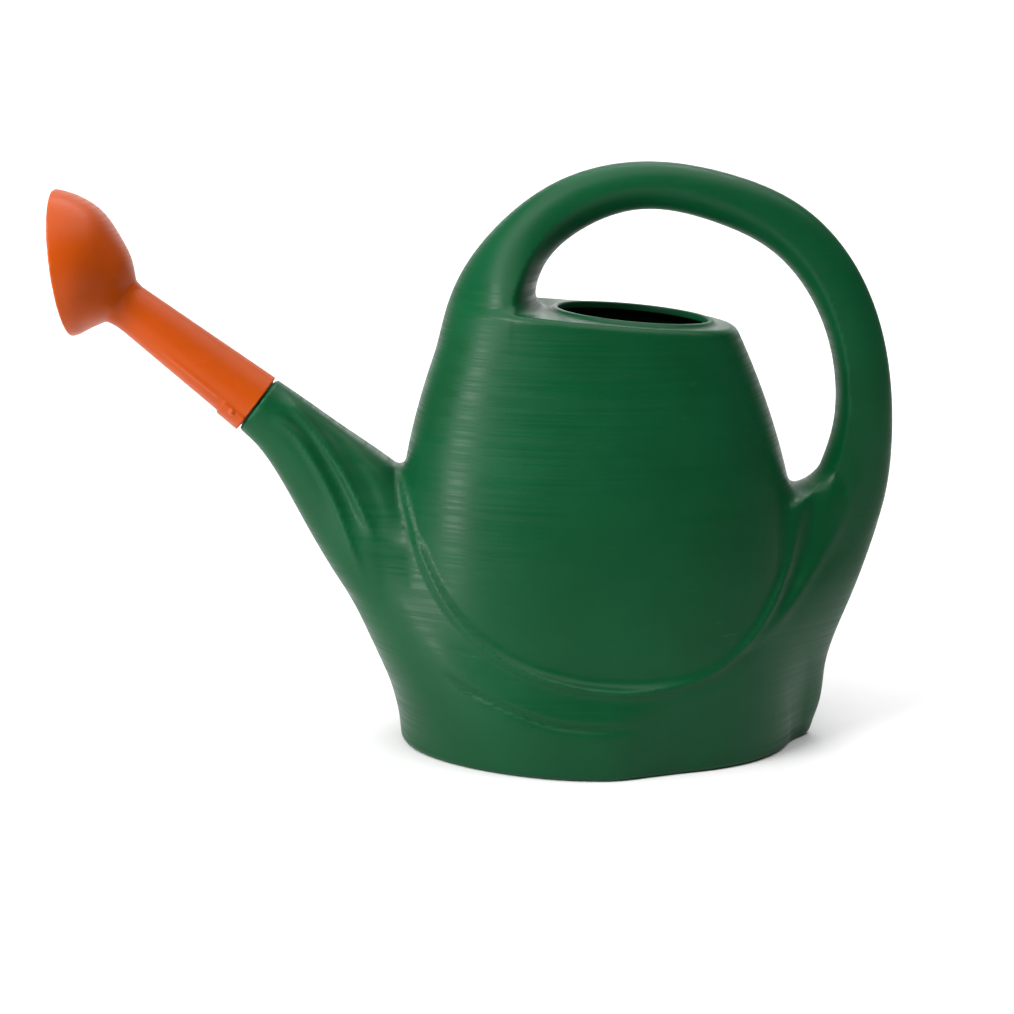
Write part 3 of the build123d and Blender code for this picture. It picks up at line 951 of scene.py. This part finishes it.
def moulded_plastic(name, dark, light, worn, roughness, specular, streak_depth, grain_depth):
    """Satin moulded plastic: soft mottling, level streaks from the mould, scuffs, worn edges and painted
    shade in the hollows.
    """
    nodes = Nodes(name)
    place = nodes.add("ShaderNodeTexCoord").outputs["Object"]
    mottle = nodes.noise(place, 9.0, 4.0)
    cloud = nodes.noise(place, 32.0, 3.0)
    streaks = nodes.noise(nodes.stretch(place, 9, 9, 620), 1.0, 2.0, 0.5)
    ripple = nodes.noise(nodes.stretch(place, 5, 5, 120), 1.0, 2.0, 0.5)
    grain = nodes.noise(place, 1500.0, 2.0, 0.6)
    scuff_lines = nodes.noise(nodes.stretch(place, 46, 46, 260), 1.0, 5.0, 0.72)
    scuff_patches = nodes.noise(place, 21.0, 3.0)
    scuffs = nodes.maths(
        "MULTIPLY", nodes.band(scuff_lines, 0.60, 0.74), nodes.band(scuff_patches, 0.50, 0.66))
    edge = nodes.add("ShaderNodeNewGeometry").outputs["Pointiness"]
    worn_share = nodes.maths("MULTIPLY", nodes.band(edge, 0.515, 0.60), nodes.band(cloud, 0.36, 0.62))
    # Painted shade: hollows and creases, where Pointiness is low, are darkened.
    painted_hollow_shade = nodes.band(edge, 0.485, 0.42)
    colour = nodes.blend(nodes.band(mottle, 0.32, 0.68), dark, light)
    colour = nodes.blend(nodes.maths("MULTIPLY", nodes.band(cloud, 0.35, 0.7), 0.25), colour, dark)
    # Darker copy of the plastic's colour, blended into the hollows as painted shade.
    shadow = tuple(0.55 * channel for channel in dark[:3]) + (1,)
    colour = nodes.blend(nodes.maths("MULTIPLY", painted_hollow_shade, 0.45), colour, shadow)
    colour = nodes.blend(nodes.maths("MULTIPLY", scuffs, 0.22), colour, worn)
    colour = nodes.blend(nodes.maths("MULTIPLY", worn_share, 0.35), colour, worn)
    nodes.feed(nodes.shader.inputs["Base Color"], colour)
    shine = nodes.maths("ADD", nodes.band(mottle, 0.3, 0.7, roughness - 0.03, roughness + 0.03),
                        nodes.band(streaks, 0.3, 0.7, -0.07, 0.07))
    shine = nodes.maths("ADD", shine, nodes.maths("MULTIPLY", scuffs, 0.16))
    shine = nodes.maths("ADD", shine, nodes.maths("MULTIPLY", worn_share, 0.06), clamp=True)
    nodes.feed(nodes.shader.inputs["Roughness"], shine)
    normal = nodes.bump(ripple, streak_depth * 2.0)
    normal = nodes.bump(streaks, streak_depth, normal)
    normal = nodes.bump(grain, grain_depth, normal)
    normal = nodes.bump(scuffs, -SCUFF_DEPTH, normal)
    across = nodes.maths("ABSOLUTE", nodes.add("ShaderNodeSeparateXYZ", Vector=place).outputs["Y"])
    seam = nodes.band(across, *SEAM_HALF_WIDTHS, 1.0, 0.0)
    normal = nodes.bump(seam, SEAM_HEIGHT, normal)
    nodes.feed(nodes.shader.inputs["Normal"], normal)
    nodes.shader.inputs["Specular IOR Level"].default_value = specular
    return nodes.material


green = moulded_plastic(
    "green_plastic", dark=(0.0005, 0.044, 0.0130, 1), light=(0.0009, 0.055, 0.0175, 1),
    worn=(0.02, 0.15, 0.07, 1), roughness=0.38, specular=0.15, streak_depth=0.000012, grain_depth=0.000004)
orange = moulded_plastic(
    "orange_plastic", dark=(0.31, 0.041, 0.0008, 1), light=(0.37, 0.052, 0.0014, 1),
    worn=(0.55, 0.15, 0.03, 1), roughness=0.36, specular=0.14, streak_depth=0.000002, grain_depth=0.000004)
for piece, material in ((can, green), (rose, orange)):
    for index in range(len(piece.data.materials)):
        piece.data.materials[index] = material
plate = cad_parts["rose_plate"]
for slot in plate.material_slots:
    slot.material = orange

# ---------------------------------------------------------------- stage, light and camera


# Metres: the backdrop's half width, the bend from floor to wall, the wall's place and height.
STAGE_HALF, BEND, BEND_STEPS, WALL_Y, WALL_TOP = 3.2, 1.5, 24, 4.0, 6.0
# Strength of the room's own light, and how bright the room looks behind the backdrop's edges.
ROOM_LIGHT, ROOM_SEEN = 0.16, 0.9
# Name, place, the point it faces, size in metres, and watts.
LIGHTS = [
    ("key", (-1.3, -1.2, 1.6), (0, 0, 0.2), (0.8, 0.8), 42),
    ("strip", (-1.7, -0.78, 0.42), (-0.05, 0, 0.24), (0.36, 1.1), 26),
    ("top", (0.1, -0.1, 3.4), (0, 0, 0.2), (5.0, 4.0), 190),
    ("wall", (0.0, 1.6, 2.8), (0, 4.0, 0.6), (3.0, 1.0), 112),
]
# Lens and sensor in millimetres, the point that the camera faces, its distance and its climb.
LENS, SENSOR = 80, 36
AIM, DISTANCE, CLIMB = Vector((-0.0715, 0.0, 0.1629)), 1.5615, math.radians(11.9)


def floor_material():
    """Matt white board, a little uneven."""
    nodes = Nodes("floor_white")
    place = nodes.add("ShaderNodeTexCoord").outputs["Object"]
    nodes.feed(nodes.shader.inputs["Base Color"],
               nodes.blend(nodes.noise(place, 3.0), (0.69, 0.69, 0.69, 1), (0.71, 0.71, 0.71, 1)))
    nodes.feed(nodes.shader.inputs["Roughness"], nodes.band(nodes.noise(place, 40.0), 0.3, 0.7, 0.6, 0.7))
    nodes.feed(nodes.shader.inputs["Normal"], nodes.bump(nodes.noise(place, 300.0), 0.00002))
    nodes.shader.inputs["Specular IOR Level"].default_value = 0.2
    return nodes.material


def backdrop():
    """Floor that curves up into a wall behind the object."""
    profile = [(-STAGE_HALF, 0.0)]
    for step in range(BEND_STEPS + 1):
        turn = math.pi / 2 * step / BEND_STEPS
        profile.append((WALL_Y - BEND + BEND * math.sin(turn), BEND - BEND * math.cos(turn)))
    profile.append((WALL_Y, WALL_TOP))
    points = [(x, y, z) for y, z in profile for x in (-STAGE_HALF, STAGE_HALF)]
    faces = [(2 * k, 2 * k + 1, 2 * k + 3, 2 * k + 2) for k in range(len(profile) - 1)]
    mesh = bpy.data.meshes.new("backdrop")
    mesh.from_pydata(points, [], faces)
    mesh.polygons.foreach_set("use_smooth", np.ones(len(faces), bool))
    mesh.materials.append(floor_material())
    sheet = bpy.data.objects.new("backdrop", mesh)
    bpy.context.scene.collection.objects.link(sheet)
    return sheet


def room():
    """World that looks pale to the camera, and gives off little light of its own."""
    world = bpy.data.worlds.new("studio")
    world.use_nodes = True
    sky = world.node_tree.nodes["Background"]
    sky.inputs["Color"].default_value = (1, 1, 1, 1)
    seen = world.node_tree.nodes.new("ShaderNodeMapRange")
    seen.inputs["To Min"].default_value = ROOM_LIGHT
    seen.inputs["To Max"].default_value = ROOM_SEEN
    path = world.node_tree.nodes.new("ShaderNodeLightPath")
    world.node_tree.links.new(path.outputs["Is Camera Ray"], seen.inputs["Value"])
    world.node_tree.links.new(seen.outputs["Result"], sky.inputs["Strength"])
    return world


def area_light(name, place, target, size, power):
    """Rectangular lamp at a place, turned to its target."""
    data = bpy.data.lights.new(name, "AREA")
    data.shape = "RECTANGLE"
    data.size, data.size_y = size
    data.energy = power
    light = bpy.data.objects.new(name, data)
    bpy.context.scene.collection.objects.link(light)
    light.location = place
    direction = Vector(target) - Vector(place)
    light.rotation_euler = direction.to_track_quat("-Z", "Y").to_euler()


def front_camera():
    """Camera in front of the can, looking a little down on it."""
    data = bpy.data.cameras.new("camera")
    data.lens, data.sensor_width = LENS, SENSOR
    camera = bpy.data.objects.new("camera", data)
    bpy.context.scene.collection.objects.link(camera)
    camera.location = AIM + Vector((0, -math.cos(CLIMB), math.sin(CLIMB))) * DISTANCE
    camera.rotation_euler = (AIM - camera.location).to_track_quat("-Z", "Y").to_euler()
    return camera


backdrop()
bpy.context.scene.world = room()
for settings in LIGHTS:
    area_light(*settings)
bpy.context.scene.camera = front_camera()
bpy.context.scene.view_settings.view_transform = "Standard"
